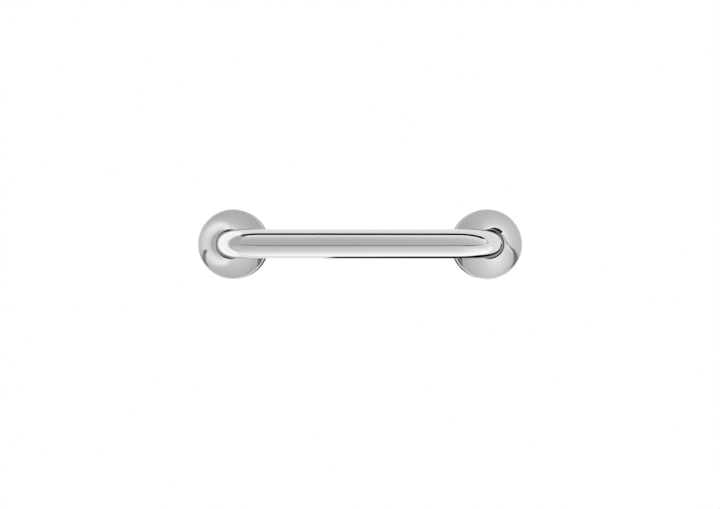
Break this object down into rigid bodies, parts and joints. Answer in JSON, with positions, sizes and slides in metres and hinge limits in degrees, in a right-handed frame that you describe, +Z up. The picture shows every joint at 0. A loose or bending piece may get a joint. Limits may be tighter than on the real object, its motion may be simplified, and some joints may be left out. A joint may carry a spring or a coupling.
{
  "type": "grab bar",
  "caption": "Short straight wall grab bar: a polished tube bent back to the wall at each end, with round flared push-fit covers over its screw flanges.",
  "frame": {"origin": "on the wall plane, midway between the two flanges, on the level of the bar's axis", "axes": "+X along the bar, +Y into the wall, so that the bar stands out towards -Y, +Z up"},
  "size_m": [0.3886, 0.0698, 0.0838],
  "materials": {
    "polished_tube": "mirror polished",
    "polished_cover": "mirror polished",
    "flange_plate": "mill",
    "weld_metal": "as welded"
  },
  "bodies": {
    "root": {"grab_bar_tube": "polished_tube", "left_mounting_flange": "flange_plate", "right_mounting_flange": "flange_plate", "left_weld_bead": "weld_metal", "right_weld_bead": "weld_metal", "left_flange_cover": "polished_cover", "right_flange_cover": "polished_cover"}
  },
  "joints": []
}
